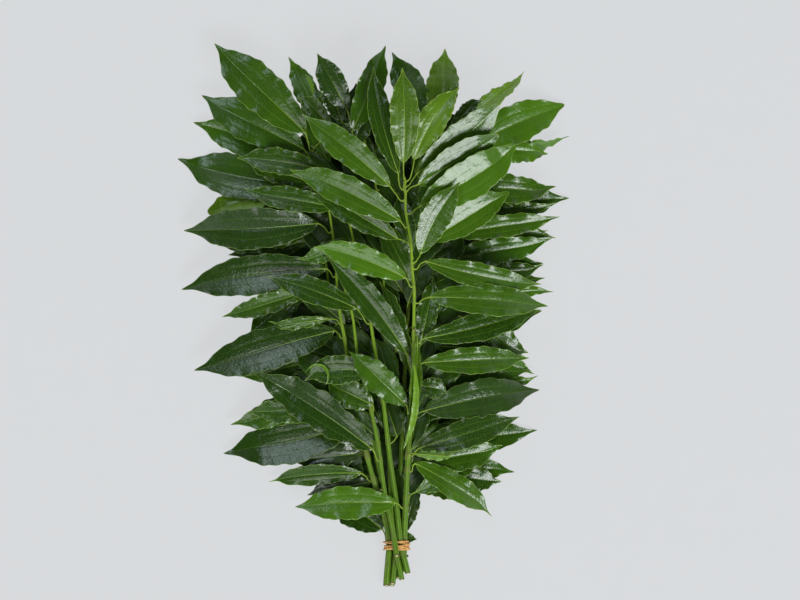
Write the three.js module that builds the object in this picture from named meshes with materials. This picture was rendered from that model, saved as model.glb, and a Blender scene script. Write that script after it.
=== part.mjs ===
import * as THREE from "three";

// A florist's bunch of cocculus: eight cut branches held by a rubber band, lying on its back.
// Millimetres. +Y runs from the cut ends to the leaf tips, +X points right and +Z up.

const CLEARANCE = 0.35; // air between pieces that touch
const JOINT_GAP = 1.0; // from a stem's side to the middle of a stalk's end
const REST_GAP = 1.2; // air between a leaf and what it lies on
const BLADE_THICK = 0.6;
const RIB_THICK = 1.5;
const STALK_RADIUS = 1.0;
const FOLD = 0.16; // how far the blade's edges stand up, as a share of its half width
const ARCH = 5; // how far the middle of a blade stands over its chord
const STEEPEST_LIFT = 0.4; // how fast a blade may climb onto what lies under it
const STALK_STATIONS = [0, 0.5];
const BLADE_STATIONS = [0, 0.05, 0.13, 0.23, 0.35, 0.48, 0.61, 0.73, 0.84, 0.93];

const STEM_SIDES = 8;
const STEM_STEP = 14; // length of one straight stretch of a stem

const BAND_TOP_Y = -213;
const BAND_WIDE = 10;
const BAND_THICK = 1.4;
const BAND_POINTS = 40;

const RELIEF_CELL = 1.5;
const RELIEF_HALF_X = 230;
const RELIEF_HALF_Y = 290;
const SAMPLE_STEP = 1.4;
const LAYING_PASSES = 4;

const UP = new THREE.Vector3(0, 0, 1);

// ---------------------------------------------------------------- stems

// Each route runs from the cut end up to the growing tip; radius is [at the cut end, at the tip].
const STEM_ROUTES = {
  far_left: {
    radius: [2.7, 1.5],
    route: [
      [18.4, -256, 10], [20.6, -235, 10.6], [22.3, -217, 10.6], [19.6, -205, 11.6],
      [16.4, -192, 13], [9.5, -165, 15.5], [-1, -116, 22], [-20, -60, 28], [-36, 0, 32],
      [-47, 64, 34], [-54, 130, 35], [-57, 160, 35],
    ],
  },
  left: {
    radius: [2.9, 1.6],
    route: [
      [12.4, -258, 9.6], [13.9, -236, 11.4], [15.4, -217, 12.5], [12, -195, 16.5],
      [5.5, -172, 21], [-5, -135, 29], [-17, -79, 39], [-27, -20, 45], [-33, 15, 47],
      [-37, 70, 49], [-42, 105, 50], [-45, 133, 50],
    ],
  },
  short_front: {
    radius: [2.6, 1.5],
    route: [
      [22.8, -229, 24.8], [21, -217, 24.4], [18.2, -200, 26], [12, -172, 29],
      [4.5, -120, 38], [-4, -79, 45], [-14, -40, 49], [-20, 5, 53], [-27, 28, 55],
      [-33, 52, 56],
    ],
  },
  middle: {
    radius: [2.5, 1.5],
    route: [
      [27.8, -252, 12.2], [24, -234, 15.3], [20.4, -217, 16.4], [19.6, -205, 17.1],
      [18.2, -192, 18.3], [16.5, -165, 20], [14, -98, 27], [12, -31, 33], [10, 35, 37],
      [6, 102, 40], [-2, 149, 42], [-12, 178, 43],
    ],
  },
  front_left: {
    radius: [2.8, 1.8],
    route: [
      [33.4, -246, 11.5], [29.9, -231, 14.8], [26.2, -217, 16.9], [24.6, -200, 19.4],
      [21.5, -172, 23.5], [15.5, -130, 32], [9.5, -79, 42], [0, -20, 48], [-6, 20, 51],
      [-15, 60, 53], [-27, 106, 54],
    ],
  },
  front: {
    radius: [2.9, 1.9],
    route: [
      [29.5, -245, 6], [29.3, -231, 8.6], [29.8, -217, 11.6], [30.4, -197, 18],
      [31.5, -172, 25.5], [33.5, -130, 36], [37, -79, 47], [38.5, -30, 55], [38.5, 30, 62],
      [35, 75, 66], [31, 105, 68], [30, 133, 69],
    ],
  },
  right: {
    radius: [2.8, 1.6],
    route: [
      [17.9, -258, 4.3], [17.2, -235, 4.8], [17.9, -217, 5.5], [21, -204, 5.2],
      [23, -190, 7], [25.5, -155, 11], [29, -79, 19], [33, 0, 26], [41, 64, 31], [50, 121, 34],
      [57, 165, 35],
    ],
  },
  far_right: {
    radius: [2.7, 1.5],
    route: [
      [23.8, -251, 4.4], [24.6, -232, 5.2], [27, -217, 6.2], [29.5, -190, 7],
      [32.5, -155, 9], [38, -98, 13], [45, -31, 17], [55, 35, 20], [65, 102, 22],
      [72, 140, 24], [77, 165, 26],
    ],
  },
};

const UNDER_STEMS = ["far_left", "middle", "right", "far_right"];
const UPPER_STEMS = ["left", "front_left", "short_front", "front"];

// ---------------------------------------------------------------- leaves

// node is the height along the stem where the stalk joins. base and tip are the blade's ends as
// it grows, before it is laid on the leaves under it. bow bends the blade sideways, arch lifts its
// middle and roll tips it about its midrib. Each list runs from the bottom up.
const leaf = (place, stem, node, shape) => ({ name: `leaf_${place}`, stem, node, ...shape });

const LEAVES_UNDER_STEMS = [
  leaf("left_03", "far_left", 140, { base: [-64, 152, 26], tip: [-171, 187, -8], wide: 36 }),
  leaf("left_04", "far_left", 116, { base: [-64, 125, 26], tip: [-187, 149, -6], wide: 43, bow: -3 }),
  leaf("left_09", "far_left", 45, { base: [-58, 38, 22], tip: [-122, -22, -8], wide: 27 }),
  leaf("left_11", "left", -112, { base: [-20, -104, 22], tip: [-143, -128, -6], wide: 43, bow: -3 }),
  leaf("left_13", "left", -212, { base: [9, -203, 8], tip: [-46, -160, -4], wide: 38 }),
  leaf("top_06", "right", 158, { base: [52, 176, 26], tip: [17, 252, -5], wide: 32, bow: 2 }),
  leaf("top_01", "far_left", 156, { base: [-46, 180, 28], tip: [-80, 248, -5], wide: 23 }),
  leaf("top_07", "right", 162, { base: [62, 182, 28], tip: [70, 256, 0], wide: 31 }),
  leaf("right_03", "far_right", 92, { base: [72, 102, 16], tip: [187, 115, -6], wide: 33 }),
  leaf("right_07", "far_right", 36, { base: [66, 42, 14], tip: [162, 52, -6], wide: 30 }),
  leaf("right_10", "far_right", -22, { base: [58, -14, 12], tip: [160, 8, -6], wide: 30, bow: 4 }),
  leaf("right_16", "far_right", -130, { base: [48, -122, 8], tip: [157, -109, -6], wide: 28 }),
  leaf("right_17", "far_right", -158, { base: [46, -150, 7], tip: [135, -146, -4], wide: 24, bow: -2 }),
  leaf("right_01", "far_right", 152, { base: [90, 160, 24], tip: [183, 202, 4], wide: 38, bow: -3, arch: 7 }),
];

const LEAVES_BETWEEN_STEMS = [
  leaf("left_02", "far_left", 150, { base: [-66, 160, 36], tip: [-164, 209, 16], wide: 38, arch: 8 }),
  leaf("left_01", "far_left", 158, { base: [-64, 175, 38], tip: [-152, 259, 22], wide: 42, arch: 7 }),
  leaf("top_02", "middle", 174, { base: [-24, 196, 44], tip: [-53, 250, 30], wide: 25, roll: 0.3 }),
  leaf("top_03", "middle", 162, { base: [-20, 176, 46], tip: [10, 259, 36], wide: 27, bow: 2, roll: -0.25 }),
  leaf("top_10", "far_right", 162, { base: [92, 190, 30], tip: [147, 231, 24], wide: 21, roll: 0.5 }),
  leaf("right_06", "far_right", 48, { base: [66, 57, 24], tip: [171, 73, 12], wide: 25, bow: 2 }),
  leaf("right_13", "right", -70, { base: [46, -59, 24], tip: [150, -51, 8], wide: 26 }),
  leaf("right_04", "right", 60, { base: [54, 73, 36], tip: [129, 119, 44], wide: 30, roll: 0.2 }),
  leaf("left_07", "left", 80, { base: [-52, 89, 46], tip: [-180, 83, 10], wide: 40, bow: -2, arch: 9 }),
  leaf("left_08", "left", 38, { base: [-44, 46, 44], tip: [-183, 28, 8], wide: 38, bow: 3, arch: 10 }),
  leaf("left_10", "left", -20, { base: [-36, -13, 42], tip: [-170, -53, 8], wide: 40, bow: 2, arch: 10 }),
  leaf("left_12", "left", -156, { base: [-11, -149, 24], tip: [-100, -157, 6], wide: 21, bow: 3, roll: 0.25 }),
];

const LEAVES_OVER_STEMS = [
  leaf("left_05", "left", 128, { base: [-50, 140, 52], tip: [-129, 152, 34], wide: 25, bow: 2 }),
  leaf("left_06", "front_left", 98, { base: [-34, 104, 56], tip: [-122, 120, 40], wide: 23 }),
  leaf("centre_04", "front_left", -6, { base: [-15, 8, 56], tip: [-100, 39, 48], wide: 25, bow: 2 }),
  leaf("centre_08", "short_front", -136, { base: [0, -126, 42], tip: [-115, -51, 30], wide: 36, bow: 3, arch: 8 }),
  leaf("centre_06", "front_left", -62, { base: [-1, -51, 52], tip: [-66, -53, 46], wide: 28, bow: 2, arch: 9 }),
  leaf("centre_10", "front", -182, { base: [22, -177, 28], tip: [-74, -181, 22], wide: 32, bow: 2, arch: 7 }),
  leaf("centre_05", "front", -46, { base: [33, -36, 56], tip: [-44, 58, 58], wide: 25, bow: 4, roll: -0.2 }),
  leaf("centre_03", "front", 29, { base: [31, 37, 66], tip: [-56, 68, 66], wide: 27, bow: 3, arch: 7 }),
  leaf("centre_07", "front", -92, { base: [32, -84, 50], tip: [-22, -32, 62], wide: 27, arch: 7 }),
  leaf("centre_02", "front", 85, { base: [26, 91, 70], tip: [-78, 141, 62], wide: 30, bow: 3, arch: 7 }),
  leaf("centre_01", "front", 110, { base: [16, 124, 72], tip: [-67, 191, 64], wide: 28, bow: 2, arch: 7 }),
  leaf("top_04", "front", 121, { base: [24, 136, 70], tip: [-1, 237, 56], wide: 23, bow: -3 }),
  leaf("top_09", "front", 124, { base: [42, 136, 70], tip: [119, 201, 63], wide: 33, bow: 3 }),
  leaf("right_02", "front", 97, { base: [45, 105, 68], tip: [136, 161, 64], wide: 38, bow: 3 }),
  leaf("top_08", "front", 129, { base: [39, 149, 72], tip: [81, 218, 66], wide: 27, bow: -4, arch: 7 }),
  leaf("top_05", "front", 131, { base: [29, 146, 73], tip: [27, 235, 84], wide: 28, bow: 2, arch: 8 }),
  leaf("right_08", "front", 45, { base: [50, 53, 66], tip: [160, 30, 36], wide: 24, bow: 3, arch: 9 }),
  leaf("right_05", "front", 52, { base: [45, 60, 70], tip: [83, 127, 82], wide: 28, bow: -4 }),
  leaf("right_11", "front", -26, { base: [49, -20, 56], tip: [159, 9, 24], wide: 27, bow: 3, arch: 7 }),
  leaf("right_09", "front", 13, { base: [54, 19, 63], tip: [166, 10, 34], wide: 30, bow: -2, arch: 9 }),
  leaf("right_12", "front", -50, { base: [48, -43, 53], tip: [148, -39, 24], wide: 26, arch: 8 }),
  leaf("right_14", "front", -93, { base: [49, -89, 45], tip: [158, -69, 14], wide: 36, bow: -2, arch: 9 }),
  leaf("right_15", "front", -132, { base: [43, -125, 37], tip: [139, -95, 12], wide: 28, arch: 7 }),
  leaf("right_18", "front", -147, { base: [40, -139, 35], tip: [115, -187, 10], wide: 25, bow: -2, arch: 8 }),
  leaf("centre_09", "front", -16, { base: [42, -25, 62], tip: [30, -125, 52], wide: 13, arch: 3, fold: 0.7 }),
];

// ---------------------------------------------------------------- shapes

// A closed solid through rings of points, each ring running the same way round.
// The last ring may be a single point, which closes the solid to a tip.
function closedLoft(rings) {
  const positions = [];
  const starts = [];
  for (const ring of rings) {
    starts.push(positions.length / 3);
    for (const point of ring) positions.push(point.x, point.y, point.z);
  }
  const faces = [];
  for (let r = 0; r + 1 < rings.length; r += 1) {
    const count = rings[r].length;
    const toTip = rings[r + 1].length === 1;
    for (let k = 0; k < count; k += 1) {
      const here = starts[r] + k;
      const next = starts[r] + ((k + 1) % count);
      if (toTip) {
        faces.push(here, next, starts[r + 1]);
        continue;
      }
      const above = starts[r + 1] + k;
      const aboveNext = starts[r + 1] + ((k + 1) % count);
      faces.push(here, next, aboveNext, here, aboveNext, above);
    }
  }
  closeEnd(faces, starts[0], rings[0].length, true);
  const last = rings.length - 1;
  if (rings[last].length > 1) closeEnd(faces, starts[last], rings[last].length, false);
  const geometry = new THREE.BufferGeometry();
  geometry.setAttribute("position", new THREE.Float32BufferAttribute(positions, 3));
  geometry.setIndex(faces);
  geometry.computeVertexNormals();
  return geometry;
}

function closeEnd(faces, start, count, facesBack) {
  for (let k = 1; k + 1 < count; k += 1) {
    if (facesBack) faces.push(start, start + k + 1, start + k);
    else faces.push(start, start + k, start + k + 1);
  }
}

// ---------------------------------------------------------------- the relief under the next leaf

// The height of everything laid so far, in square cells over the surface.
class Relief {
  constructor() {
    this.columns = Math.ceil((2 * RELIEF_HALF_X) / RELIEF_CELL);
    this.rows = Math.ceil((2 * RELIEF_HALF_Y) / RELIEF_CELL);
    this.heights = new Float64Array(this.columns * this.rows).fill(-REST_GAP);
  }

  raise(point) {
    const column = Math.floor((point.x + RELIEF_HALF_X) / RELIEF_CELL);
    const row = Math.floor((point.y + RELIEF_HALF_Y) / RELIEF_CELL);
    const cell = row * this.columns + column;
    this.heights[cell] = Math.max(this.heights[cell], point.z);
  }

  // The highest point in the cell at (x, y) and the eight around it.
  top(x, y) {
    const column = Math.floor((x + RELIEF_HALF_X) / RELIEF_CELL);
    const row = Math.floor((y + RELIEF_HALF_Y) / RELIEF_CELL);
    let highest = -Infinity;
    for (let r = row - 1; r <= row + 1; r += 1) {
      for (let c = column - 1; c <= column + 1; c += 1) {
        highest = Math.max(highest, this.heights[r * this.columns + c]);
      }
    }
    return highest;
  }
}

// ---------------------------------------------------------------- a stem

function makeStem({ radius, route }) {
  const curve = new THREE.CatmullRomCurve3(route.map((point) => new THREE.Vector3(...point)));
  const steps = Math.round(curve.getLength() / STEM_STEP);
  const stations = [];
  for (let i = 0; i <= steps; i += 1) {
    const along = i / steps;
    stations.push({
      centre: curve.getPointAt(along),
      tangent: curve.getTangentAt(along),
      radius: THREE.MathUtils.lerp(radius[0], radius[1], along),
    });
  }
  return stations;
}

// The stem's centre, direction and radius at a height y along the bunch.
function stemAt(stations, y) {
  const after = Math.max(1, stations.findIndex((station) => station.centre.y >= y));
  const low = stations[after - 1];
  const high = stations[after];
  const share = (y - low.centre.y) / (high.centre.y - low.centre.y);
  return {
    centre: low.centre.clone().lerp(high.centre, share),
    tangent: low.tangent.clone().lerp(high.tangent, share).normalize(),
    radius: THREE.MathUtils.lerp(low.radius, high.radius, share),
  };
}

function stemGeometry(stations) {
  const rings = stations.map(({ centre, tangent, radius }) => {
    const side = new THREE.Vector3().crossVectors(tangent, UP).normalize();
    const over = new THREE.Vector3().crossVectors(side, tangent);
    const ring = [];
    for (let k = 0; k < STEM_SIDES; k += 1) {
      const angle = (2 * Math.PI * (k + 0.5)) / STEM_SIDES;
      const point = centre.clone();
      point.addScaledVector(side, -radius * Math.cos(angle));
      point.addScaledVector(over, radius * Math.sin(angle));
      ring.push(point);
    }
    return ring;
  });
  return closedLoft(rings);
}

function raiseForStem(relief, stations) {
  for (let i = 0; i + 1 < stations.length; i += 1) {
    const low = stations[i];
    const high = stations[i + 1];
    const steps = Math.ceil(low.centre.distanceTo(high.centre) / SAMPLE_STEP);
    for (let k = 0; k <= steps; k += 1) {
      const centre = low.centre.clone().lerp(high.centre, k / steps);
      for (let offset = -low.radius; offset <= low.radius; offset += SAMPLE_STEP) {
        const over = Math.sqrt(Math.max(0, low.radius ** 2 - offset ** 2));
        relief.raise(centre.clone().add(new THREE.Vector3(offset, 0, over)));
      }
    }
  }
}

// ---------------------------------------------------------------- a leaf

// The blade's half width from base (0) to tip (1), as a share of its widest.
function outline(along) {
  return Math.sin(Math.PI * along) ** (0.6 + 0.62 * along ** 2);
}

// The leaf's centre line: a short stalk curving out of the stem, then the blade.
function leafSpine(leaf, stations) {
  const { bow = 0, arch = ARCH } = leaf;
  const base = new THREE.Vector3(...leaf.base);
  const tip = new THREE.Vector3(...leaf.tip);
  const joint = stemAt(stations, leaf.node);
  const outward = base.clone().sub(joint.centre);
  outward.addScaledVector(joint.tangent, -outward.dot(joint.tangent)).normalize();
  const start = joint.centre.clone();
  start.addScaledVector(outward, joint.radius + JOINT_GAP);

  const chord = tip.clone().sub(base);
  const right = new THREE.Vector3().crossVectors(chord, UP).normalize();
  const bladePoint = (along) => {
    const bulge = 4 * along * (1 - along);
    const point = base.clone().addScaledVector(chord, along);
    return point.addScaledVector(right, bow * bulge).addScaledVector(UP, arch * bulge);
  };
  const heading = bladePoint(0.01).sub(base).normalize();
  const reach = start.distanceTo(base) / 3;
  const leaving = outward.clone().addScaledVector(joint.tangent, 0.7).normalize();
  const stalk = new THREE.CubicBezierCurve3(
    start,
    start.clone().addScaledVector(leaving, reach),
    base.clone().addScaledVector(heading, -reach),
    base,
  );
  const spine = STALK_STATIONS.map((along) => ({
    centre: stalk.getPoint(along),
    halfWidth: STALK_RADIUS,
    isBlade: false,
  }));
  for (const along of BLADE_STATIONS) {
    const halfWidth = Math.max(STALK_RADIUS, 0.5 * leaf.wide * outline(along));
    spine.push({ centre: bladePoint(along), halfWidth, isBlade: along > 0 });
  }
  spine.push({ centre: tip, halfWidth: 0, isBlade: true });
  return spine;
}

// Left edge, midrib and right edge of the leaf at each station of its spine.
function leafSections(spine, leaf) {
  const { fold = FOLD, roll = 0 } = leaf;
  return spine.map(({ centre, halfWidth, isBlade }, i) => {
    const before = spine[Math.max(0, i - 1)].centre;
    const after = spine[Math.min(spine.length - 1, i + 1)].centre;
    const tangent = after.clone().sub(before).normalize();
    const side = new THREE.Vector3().crossVectors(tangent, UP).normalize();
    const normal = new THREE.Vector3().crossVectors(side, tangent);
    if (isBlade) {
      side.applyAxisAngle(tangent, -roll);
      normal.applyAxisAngle(tangent, -roll);
    }
    const edgeRise = isBlade ? fold * halfWidth : 0;
    const left = centre.clone().addScaledVector(side, -halfWidth).addScaledVector(normal, edgeRise);
    const right = centre.clone().addScaledVector(side, halfWidth).addScaledVector(normal, edgeRise);
    return { left, middle: centre, right, normal, isBlade };
  });
}

// Calls visit(point, station) for points spread evenly over the leaf between its stations.
function overLeaf(sections, visit) {
  for (let i = 0; i + 1 < sections.length; i += 1) {
    const low = sections[i];
    const high = sections[i + 1];
    const rows = Math.ceil(low.middle.distanceTo(high.middle) / SAMPLE_STEP);
    const widest = Math.max(low.left.distanceTo(low.middle), high.left.distanceTo(high.middle));
    const columns = Math.ceil(widest / SAMPLE_STEP);
    for (let r = 0; r <= rows; r += 1) {
      const middle = low.middle.clone().lerp(high.middle, r / rows);
      for (const edge of ["left", "right"]) {
        const rim = low[edge].clone().lerp(high[edge], r / rows);
        for (let c = 0; c <= columns; c += 1) {
          visit(middle.clone().lerp(rim, c / columns), i);
        }
      }
    }
  }
}

// Lifts the leaf where it would sink into what is already laid; its joint with the stem stays put.
function layLeaf(relief, spine, leaf) {
  const start = spine[0].centre.clone();
  const under = RIB_THICK - BLADE_THICK / 2 + REST_GAP;
  for (let pass = 0; pass < LAYING_PASSES; pass += 1) {
    const lift = spine.map(() => 0);
    overLeaf(leafSections(spine, leaf), (point, station) => {
      if (point.distanceTo(start) < 3 * STALK_RADIUS + 2) return;
      const short = relief.top(point.x, point.y) + under - point.z;
      lift[station] = Math.max(lift[station], short);
      lift[station + 1] = Math.max(lift[station + 1], short);
    });
    spreadLift(lift, spine);
    for (let i = 1; i < spine.length; i += 1) spine[i].centre.z += lift[i];
  }
}

// Eases the lift out on both sides of the stretch that needs it.
function spreadLift(lift, spine) {
  for (let i = 1; i < lift.length; i += 1) {
    const run = spine[i].centre.distanceTo(spine[i - 1].centre);
    lift[i] = Math.max(lift[i], lift[i - 1] - STEEPEST_LIFT * run);
  }
  for (let i = lift.length - 2; i >= 0; i -= 1) {
    const run = spine[i].centre.distanceTo(spine[i + 1].centre);
    lift[i] = Math.max(lift[i], lift[i + 1] - STEEPEST_LIFT * run);
  }
}

function leafGeometry(sections) {
  const rings = sections.map(({ left, middle, right, normal, isBlade }, i) => {
    if (i === sections.length - 1) return [middle];
    const edge = isBlade ? BLADE_THICK / 2 : STALK_RADIUS / 2;
    const above = isBlade ? BLADE_THICK / 2 : STALK_RADIUS;
    const below = isBlade ? RIB_THICK - BLADE_THICK / 2 : STALK_RADIUS;
    return [
      left.clone().addScaledVector(normal, edge),
      middle.clone().addScaledVector(normal, above),
      right.clone().addScaledVector(normal, edge),
      right.clone().addScaledVector(normal, -edge),
      middle.clone().addScaledVector(normal, -below),
      left.clone().addScaledVector(normal, -edge),
    ];
  });
  return closedLoft(rings);
}

// ---------------------------------------------------------------- the rubber band

// The line that a stretched band takes round the stems it holds, offset outwards.
function bandOutline(held, offset) {
  const outlinePoints = [];
  for (let k = 0; k < BAND_POINTS; k += 1) {
    const angle = (2 * Math.PI * k) / BAND_POINTS;
    const direction = new THREE.Vector2(Math.cos(angle), Math.sin(angle));
    let farthest = null;
    let reach = -Infinity;
    for (const { centre, radius } of held) {
      const place = new THREE.Vector2(centre.x, centre.z);
      if (place.dot(direction) + radius > reach) {
        reach = place.dot(direction) + radius;
        farthest = place.addScaledVector(direction, radius + offset);
      }
    }
    outlinePoints.push(farthest);
  }
  return outlinePoints;
}

function bandGeometry(stems) {
  const held = [];
  for (const [name, stations] of Object.entries(stems)) {
    if (name === "short_front") continue; // this one was pushed in over the band
    for (const share of [0, 0.5, 1]) held.push(stemAt(stations, BAND_TOP_Y - share * BAND_WIDE));
  }
  const shape = new THREE.Shape(bandOutline(held, CLEARANCE + BAND_THICK));
  shape.holes.push(new THREE.Path(bandOutline(held, CLEARANCE)));
  const geometry = new THREE.ExtrudeGeometry(shape, { depth: BAND_WIDE, bevelEnabled: false });
  geometry.rotateX(Math.PI / 2);
  geometry.translate(0, BAND_TOP_Y, 0);
  return geometry;
}

// ---------------------------------------------------------------- materials

const finish = (colour, roughness) =>
  new THREE.MeshStandardMaterial({ color: colour, roughness, metalness: 0 });
const leafColour = { left: 0x27491c, right: 0x2f5a1e, centre: 0x4b8a2c, top: 0x3f7a26 };
const leafFinish = (name) => finish(leafColour[name.split("_")[1]], 0.35);
const stemFinish = () => finish(0x6f9a34, 0.55);
const bandFinish = () => finish(0xe0a56c, 0.7);

// ---------------------------------------------------------------- the bunch

const bunch = new THREE.Group();
const relief = new Relief();

function addMesh(name, geometry, material) {
  const mesh = new THREE.Mesh(geometry, material);
  mesh.name = name;
  bunch.add(mesh);
}

const stems = {};
for (const [name, stem] of Object.entries(STEM_ROUTES)) stems[name] = makeStem(stem);

function addStems(names) {
  for (const name of names) {
    raiseForStem(relief, stems[name]);
    addMesh(`stem_${name}`, stemGeometry(stems[name]), stemFinish());
  }
}

function addLeaves(leaves) {
  for (const leaf of leaves) {
    const spine = leafSpine(leaf, stems[leaf.stem]);
    layLeaf(relief, spine, leaf);
    const sections = leafSections(spine, leaf);
    overLeaf(sections, (point) => {
      relief.raise(point.clone().addScaledVector(UP, BLADE_THICK / 2));
    });
    addMesh(leaf.name, leafGeometry(sections), leafFinish(leaf.name));
  }
}

addLeaves(LEAVES_UNDER_STEMS);
addStems(UNDER_STEMS);
addLeaves(LEAVES_BETWEEN_STEMS);
addStems(UPPER_STEMS);
addLeaves(LEAVES_OVER_STEMS);
addMesh("rubber_band", bandGeometry(stems), bandFinish());

// The origin is the middle of the bunch's outline in plan, on the surface it lies on.
const extent = new THREE.Box3().setFromObject(bunch, true);
const middle = extent.getCenter(new THREE.Vector3());
bunch.position.set(-middle.x, -middle.y, -extent.min.z);

export default bunch;
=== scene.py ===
import math
import random

import bpy
import numpy as np
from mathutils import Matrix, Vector
from mathutils.bvhtree import BVHTree


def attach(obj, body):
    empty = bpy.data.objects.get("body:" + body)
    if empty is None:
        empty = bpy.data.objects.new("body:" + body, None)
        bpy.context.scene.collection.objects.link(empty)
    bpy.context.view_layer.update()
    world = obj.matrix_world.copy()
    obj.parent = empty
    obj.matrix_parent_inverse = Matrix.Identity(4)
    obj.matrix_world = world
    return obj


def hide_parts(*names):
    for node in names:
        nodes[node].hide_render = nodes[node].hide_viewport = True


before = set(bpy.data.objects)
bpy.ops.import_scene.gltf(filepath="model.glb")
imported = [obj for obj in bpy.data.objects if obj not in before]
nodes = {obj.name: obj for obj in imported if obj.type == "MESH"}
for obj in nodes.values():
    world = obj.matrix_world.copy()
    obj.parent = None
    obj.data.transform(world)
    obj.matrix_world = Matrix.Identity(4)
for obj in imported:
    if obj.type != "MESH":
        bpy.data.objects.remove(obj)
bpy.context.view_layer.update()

# A florist's bunch of cocculus, lying on a pale floor and seen from straight above.
# The camera, the lights and the floor are in metres. The bunch is worked out in millimetres,
# which become metres when a mesh is made.

MM = 0.001
FLOOR_GAP = 0.05
UP = np.array([0.0, 0.0, 1.0])


# -------- camera, floor and light

CAMERA_PLACE = (0.02565, 0.0158, 6.378)
CAMERA_LENS = 300
CAMERA_SENSOR = 36

# Each light's name, place, size, power and colour. All point at the middle of the bunch.
LIGHTS = [
    ("right_soft", (1.69, -2.39, 3.3), (2.8, 1.7), 146, (0.95, 0.98, 1.0)),
    ("left_soft", (-1.16, -1.67, 3.3), (1.7, 1.7), 24, (1.0, 1.0, 1.0)),
    ("back_soft", (-2.0, 2.4, 3.2), (1.6, 1.6), 26, (0.80, 0.93, 1.0)),
]

STUDIO_COLOUR = (0.95, 0.97, 1.0)
WALL_LIGHT, CEILING_LIGHT = 0.72, 0.03
WALL_TOP, CEILING_START = 0.2, 0.65

FLOOR_HALF = 8
FLOOR_GLOW = (0.68, 0.694, 0.708, 1)
FLOOR_GLOW_STRENGTH = 0.89


def in_scene(name, data):
    """A new object that shows data."""
    made = bpy.data.objects.new(name, data)
    bpy.context.scene.collection.objects.link(made)
    return made


def make_camera():
    data = bpy.data.cameras.new("camera")
    data.lens = CAMERA_LENS
    data.sensor_width = CAMERA_SENSOR
    camera = in_scene("camera", data)
    camera.location = CAMERA_PLACE
    bpy.context.scene.camera = camera


def make_light(name, place, size, power, colour):
    data = bpy.data.lights.new(name, "AREA")
    data.shape = "RECTANGLE"
    data.size, data.size_y = size
    data.energy = power
    data.color = colour
    lamp = in_scene(name, data)
    lamp.location = place
    lamp.rotation_mode = "QUATERNION"
    lamp.rotation_quaternion = (-Vector(place)).to_track_quat("-Z", "Y")


def make_world():
    """A studio with pale walls and a dark ceiling."""
    world = bpy.data.worlds.new("studio")
    world.use_nodes = True
    tree = world.node_tree
    back = tree.nodes["Background"]
    back.inputs["Color"].default_value = (*STUDIO_COLOUR, 1)
    place = tree.nodes.new("ShaderNodeTexCoord")
    parts = tree.nodes.new("ShaderNodeSeparateXYZ")
    fade = tree.nodes.new("ShaderNodeMapRange")
    fade.interpolation_type = "SMOOTHSTEP"
    levels = (WALL_TOP, CEILING_START, WALL_LIGHT, CEILING_LIGHT)
    for socket, value in zip(fade.inputs[1:5], levels):
        socket.default_value = value
    tree.links.new(place.outputs["Generated"], parts.inputs[0])
    tree.links.new(parts.outputs["Z"], fade.inputs["Value"])
    tree.links.new(fade.outputs[0], back.inputs["Strength"])
    bpy.context.scene.world = world


def make_floor():
    h = FLOOR_HALF
    mesh = bpy.data.meshes.new("floor")
    mesh.from_pydata([(-h, -h, 0), (h, -h, 0), (h, h, 0), (-h, h, 0)], [], [(0, 1, 2, 3)])
    mesh.materials.append(floor_material())
    floor = in_scene("floor", mesh)


# -------- materials

MIX_SHARE, MIX_A, MIX_B, MIX_RESULT = 0, 6, 7, 2  # a Mix node's sockets for colours


class Graph:
    """A material's node tree, with short names for the nodes that are used often."""

    def __init__(self, name, **constants):
        self.material = bpy.data.materials.new(name)
        self.material.use_nodes = True
        self.tree = self.material.node_tree
        self.shader = self.tree.nodes["Principled BSDF"]
        for socket, value in constants.items():
            self.paint(socket.replace("_", " "), value)

    def paint(self, socket, value):
        """Sets or links one of the shader's own inputs."""
        self.put(self.shader.inputs[socket], value)

    def put(self, socket, value):
        if isinstance(value, bpy.types.NodeSocket):
            self.tree.links.new(value, socket)
        elif socket.type == "RGBA" and len(value) == 3:
            socket.default_value = (*value, 1)
        else:
            socket.default_value = value

    def node(self, kind, settings=None, **inputs):
        made = self.tree.nodes.new(kind)
        for key, value in (settings or {}).items():
            setattr(made, key, value)
        for key, value in inputs.items():
            self.put(made.inputs[key], value)
        return made

    def math(self, operation, *values):
        made = self.node("ShaderNodeMath", {"operation": operation})
        for socket, value in zip(made.inputs, values):
            self.put(socket, value)
        return made.outputs[0]

    def times(self, a, b):
        return self.math("MULTIPLY", a, b)

    def plus(self, a, b):
        return self.math("ADD", a, b)

    def span(self, value, low, high, out_low=0.0, out_high=1.0):
        """value, eased from out_low at low to out_high at high."""
        made = self.node("ShaderNodeMapRange", {"interpolation_type": "SMOOTHSTEP"}, Value=value)
        for socket, number in zip(made.inputs[1:5], (low, high, out_low, out_high)):
            socket.default_value = number
        return made.outputs[0]

    def mix(self, share, a, b):
        made = self.node("ShaderNodeMix", {"data_type": "RGBA"})
        for socket, value in ((MIX_SHARE, share), (MIX_A, a), (MIX_B, b)):
            self.put(made.inputs[socket], value)
        return made.outputs[MIX_RESULT]

    def tint(self, base, mark, strength, colour):
        """base, turned toward colour where mark is 1, by that strength."""
        return self.mix(self.times(mark, strength), base, colour)

    def noise(self, place, scale, detail=2.0, roughness=0.5):
        made = self.node(
            "ShaderNodeTexNoise", Vector=place, Scale=scale, Detail=detail, Roughness=roughness
        )
        return made.outputs[0]

    def attribute(self, name):
        made = self.node("ShaderNodeAttribute", {"attribute_name": name})
        return self.node("ShaderNodeSeparateXYZ", Vector=made.outputs["Vector"]).outputs

    def vector(self, x, y, z):
        made = self.node("ShaderNodeCombineXYZ", X=x, Y=y, Z=z)
        return made.outputs[0]

    def bump(self, height):
        """Heights are in millimetres."""
        made = self.node("ShaderNodeBump", Height=height, Distance=MM, Strength=1.0)
        self.paint("Normal", made.outputs[0])


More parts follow.
